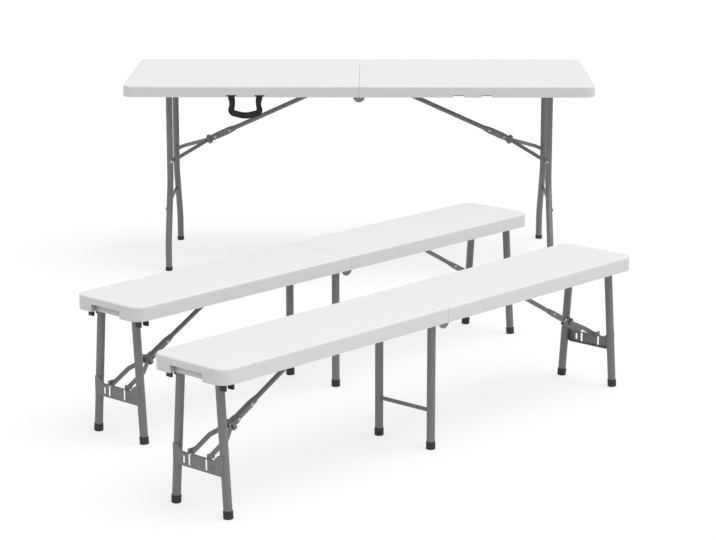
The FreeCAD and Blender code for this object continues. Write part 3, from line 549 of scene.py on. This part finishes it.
def plateDimple(item, side):
    # A pressed oval with a raised rim beside the front leg
    pivot = localJoint(f"{item}_leg_{side}").x
    face = abs(pivot) + plateSizes["proud"]
    count, rise, tall = plateSizes["segments"], plateSizes["rise"], plateSizes["tall"] / 2
    straight = plateSizes["long"] / 2 - tall
    points = []
    rings = [(1.0, -plateSizes["sink"])] + [(share, rise * high) for share, high in plateSizes["shares"]]
    for share, height in rings:
        for step in range(count):
            angle = 2 * math.pi * (step + 0.5) / count
            along = math.copysign(straight, math.cos(angle)) + math.cos(angle) * tall * share
            points.append((math.copysign(face + height, pivot), along + plateSizes["offset"],
                           plateSizes["level"] + math.sin(angle) * tall * share))
    name = f"{item}_plate_dimple_{side}"
    faces = bands(len(rings), count)
    dimple = meshPiece(name, points, faces, materials["steel"], spots[item], plateSizes["angle"])
    settle(dimple, "steel", bodyOf[f"{item}_plate_{side}"])


for item in items[1:]:
    for side in sides:
        plateDimple(item, side)
print("plates pressed")

strapSizes = {"span": 0.133, "width": 0.025, "sheet": 0.0018, "drop": 0.084, "loop": 0.0043, "pin": 0.0026,
              "corner": 0.016, "sag": 0.007, "wave": 0.004, "twist": 34.0, "cornerTwist": 24.0,
              "baseTwist": 24.0, "easing": 1.25, "unwind": 0.7, "steps": 12, "loopSteps": 24, "angle": 45.0,
              "stitchStep": 0.0035, "stitchAt": 0.009, "stitchRows": 0.004, "stitchShare": 0.76,
              "threadRadius": 0.0004, "threadHalf": 0.0011, "threadTip": 0.25, "threadShare": 0.7,
              "threadSegments": 8,
              "outline": ((-0.5, -0.25), (-0.47, -0.5), (0.47, -0.5), (0.5, -0.25),
                          (0.5, 0.25), (0.47, 0.5), (-0.47, 0.5), (-0.5, 0.25))}
strapPin = localJoint("table_handle_swing")
strapHalf = (strapSizes["span"] - strapSizes["width"]) / 2


def ribbon(path, width, sheet, axes):
    # A flat band that follows a path, with its two long edges thinned
    shape = strapSizes["outline"]
    points = []
    for index, point in enumerate(path):
        before = Vector(path[max(index - 1, 0)])
        after = Vector(path[min(index + 1, len(path) - 1)])
        wide = Vector(axes[index]).normalized()
        thick = (after - before).cross(wide).normalized()
        points += [Vector(point) + wide * (across * width) + thick * (out * sheet) for across, out in shape]
    return points, bands(len(path), len(shape))


def strapLine():
    # Left half of the hanging band: place across, place up, twist in degrees
    s = strapSizes
    radius = s["corner"]
    fall = s["drop"] - s["width"] / 2 - radius - s["sag"]
    line = []
    for step in range(s["steps"] + 1):
        share = step / s["steps"]
        twist = s["twist"] * math.sin(math.pi * share / s["easing"])
        late = (share - s["unwind"]) / (1 - s["unwind"])
        if late > 0:
            twist = s["twist"] - (s["twist"] - s["cornerTwist"]) * late
        line.append((s["wave"] * math.sin(math.pi * share) - strapHalf, -s["pin"] - fall * share, twist))
    for step in range(1, s["steps"] + 1):
        angle = math.pi / 2 * step / s["steps"]
        across = radius * (1 - math.cos(angle)) - strapHalf
        line.append((across, -s["pin"] - fall - radius * math.sin(angle), s["cornerTwist"]))
    across, low = line[-1][:2]
    for step in range(1, s["steps"] // 2 + 1):
        share = step / s["steps"]
        line.append((across * (1 - 2 * share), low - s["sag"] * math.sin(math.pi * share), s["baseTwist"]))
    return line


def strapParts():
    s = strapSizes
    parts = []
    radius = (s["loop"] + s["pin"]) / 2
    for sign in (-1.0, 1.0):
        path = []
        for step in range(s["loopSteps"] + 1):
            angle = 2 * math.pi * step / s["loopSteps"] - math.pi / 2
            spot = Vector((sign * strapHalf, radius * math.cos(angle), radius * math.sin(angle)))
            path.append(strapPin + spot)
        parts.append(ribbon(path, s["width"], s["loop"] - s["pin"], [(1.0, 0.0, 0.0)] * len(path)))
    half = strapLine()
    line = half + [(-across, up, twist) for across, up, twist in reversed(half[:-1])]
    path = [strapPin + Vector((across, 0.0, up)) for across, up, twist in line]
    axes = []
    for index, (across, up, twist) in enumerate(line):
        along = (path[min(index + 1, len(path) - 1)] - path[max(index - 1, 0)]).normalized()
        turn = math.radians(twist)
        axes.append(Vector((-along.z, 0.0, along.x)) * math.cos(turn) + Vector((0.0, math.sin(turn), 0.0)))
    parts.append(ribbon(path, s["width"], s["sheet"], axes))
    return parts


strapBody = bodyOf["table_handle"]
strapShape = joined(strapParts())
strap = meshPiece("carrying_strap", *strapShape, materials["webbing"], spots["table"], strapSizes["angle"])
settle(strap, "webbing", strapBody, "table_handle")


def stitches():
    s = strapSizes
    radius, half = s["threadRadius"], s["threadHalf"]
    tip, inner = radius * s["threadTip"], half * s["threadShare"]
    profile = [(tip, -half), (radius, -inner), (radius, inner), (tip, half)]
    shape = lathe(profile, (0.0, 0.0, 0.0), (1.0, 0.0, 0.0), s["threadSegments"])
    seed = meshPiece("stitch_seed", *shape, materials["clip"])
    wide = s["width"] * s["stitchShare"]
    for name, sign in (("near", -1.0), ("far", 1.0)):
        spot = strapPin + Vector((sign * strapHalf, -s["sheet"] / 2, -s["stitchAt"]))
        place = spots["table"] @ Matrix.Translation(spot) @ Matrix.Rotation(math.pi / 2, 4, "X")
        columns = int(wide / s["stitchStep"]) + 1
        values = {"Columns": columns, "Rows": 2, "Long": wide, "Wide": s["stitchRows"], "Piece": seed,
                  "Material": materials["clip"]}
        label = f"strap_stitches_{name}"
        settle(grown(label, onGrid, values, bpy.data.meshes.new(label), place), "webbing", strapBody)
    bpy.data.objects.remove(seed)


stitches()
print("strap sewn")

lightSizes = {"sky": 0.71, "sun": 1.45, "sunTilt": 24.0, "sunTurn": 80.0, "sunSpread": 50.0, "floor": 60.0,
              "floorGlow": 0.70, "floorSeen": (0.98, 0.98, 0.98, 1.0), "white": (1.0, 1.0, 1.0, 1.0),
              "full": 1.0}


def paleFloor():
    # White to the eye, duller to the light that it throws back
    material = materials["floor"]
    tree = material.node_tree
    shader = tree.nodes["Principled BSDF"]
    shader.inputs["Specular IOR Level"].default_value = 0.0
    start = Socket(tree)
    seen = start.add("ShaderNodeLightPath", {}, {}, "Is Camera Ray")
    for kind in ("Is Glossy Ray", "Is Transmission Ray"):
        seen = seen.maths("MAXIMUM", seen, start.add("ShaderNodeLightPath", {}, {}, kind))
    plain = Socket(tree, shader.inputs["Base Color"].links[0].from_socket)
    colours = {"Factor": seen, "A": plain, "B": lightSizes["floorSeen"]}
    start.add("ShaderNodeMix", {"data_type": "RGBA"}, colours, "Result").to(shader.inputs["Base Color"])
    glow = start.add("ShaderNodeEmission", {}, {"Color": lightSizes["white"], "Strength": lightSizes["full"]})
    lit = Socket(tree, shader.outputs["BSDF"])
    mixed = start.add("ShaderNodeMixShader", {}, {0: seen * lightSizes["floorGlow"], 1: lit, 2: glow})
    mixed.to(tree.nodes["Material Output"].inputs["Surface"])
    return material


reach = lightSizes["floor"]
corners = [(-reach, -reach, 0.0), (reach, -reach, 0.0), (reach, reach, 0.0), (-reach, reach, 0.0)]
meshPiece("pale_floor", corners, [(0, 1, 2, 3)], paleFloor())
world = bpy.data.worlds.new("studio")
bpy.context.scene.world = world
world.use_nodes = True
sky = world.node_tree.nodes["Background"]
sky.inputs["Color"].default_value = lightSizes["white"]
sky.inputs["Strength"].default_value = lightSizes["sky"]
start = Socket(world.node_tree)
white = start.add("ShaderNodeBackground", {}, {"Color": lightSizes["white"], "Strength": lightSizes["full"]})
seen = start.add("ShaderNodeLightPath", {}, {}, "Is Camera Ray")
dull = Socket(world.node_tree, sky.outputs["Background"])
mixed = start.add("ShaderNodeMixShader", {}, {0: seen, 1: dull, 2: white})
mixed.to(world.node_tree.nodes["World Output"].inputs["Surface"])
sunData = bpy.data.lights.new("softSun", "SUN")
sunData.energy = lightSizes["sun"]
sunData.angle = math.radians(lightSizes["sunSpread"])
sun = bpy.data.objects.new("softSun", sunData)
sun.matrix_world = (Matrix.Rotation(math.radians(lightSizes["sunTurn"]), 4, "Z")
                    @ Matrix.Rotation(math.radians(lightSizes["sunTilt"]), 4, "X"))
bpy.context.collection.objects.link(sun)

cameraSizes = {"lens": 115.6, "sensor": 36.0, "back": 9.017, "aside": 0.060, "yaw": 0.42, "height": 2.069,
               "pitch": 13.3, "far": 200.0}
cameraData = bpy.data.cameras.new("photoCamera")
cameraData.lens = cameraSizes["lens"]
cameraData.sensor_width = cameraSizes["sensor"]
cameraData.clip_end = cameraSizes["far"]
camera = bpy.data.objects.new("photoCamera", cameraData)
away = spots["table"].translation.y - cameraSizes["back"]
stand = Vector((cameraSizes["aside"], away, cameraSizes["height"]))
camera.matrix_world = (Matrix.Translation(stand) @ Matrix.Rotation(math.radians(cameraSizes["yaw"]), 4, "Z")
                       @ Matrix.Rotation(math.radians(90.0 - cameraSizes["pitch"]), 4, "X"))
bpy.context.collection.objects.link(camera)
bpy.context.scene.camera = camera
bpy.context.scene.view_settings.view_transform = "Standard"
print("studio set")
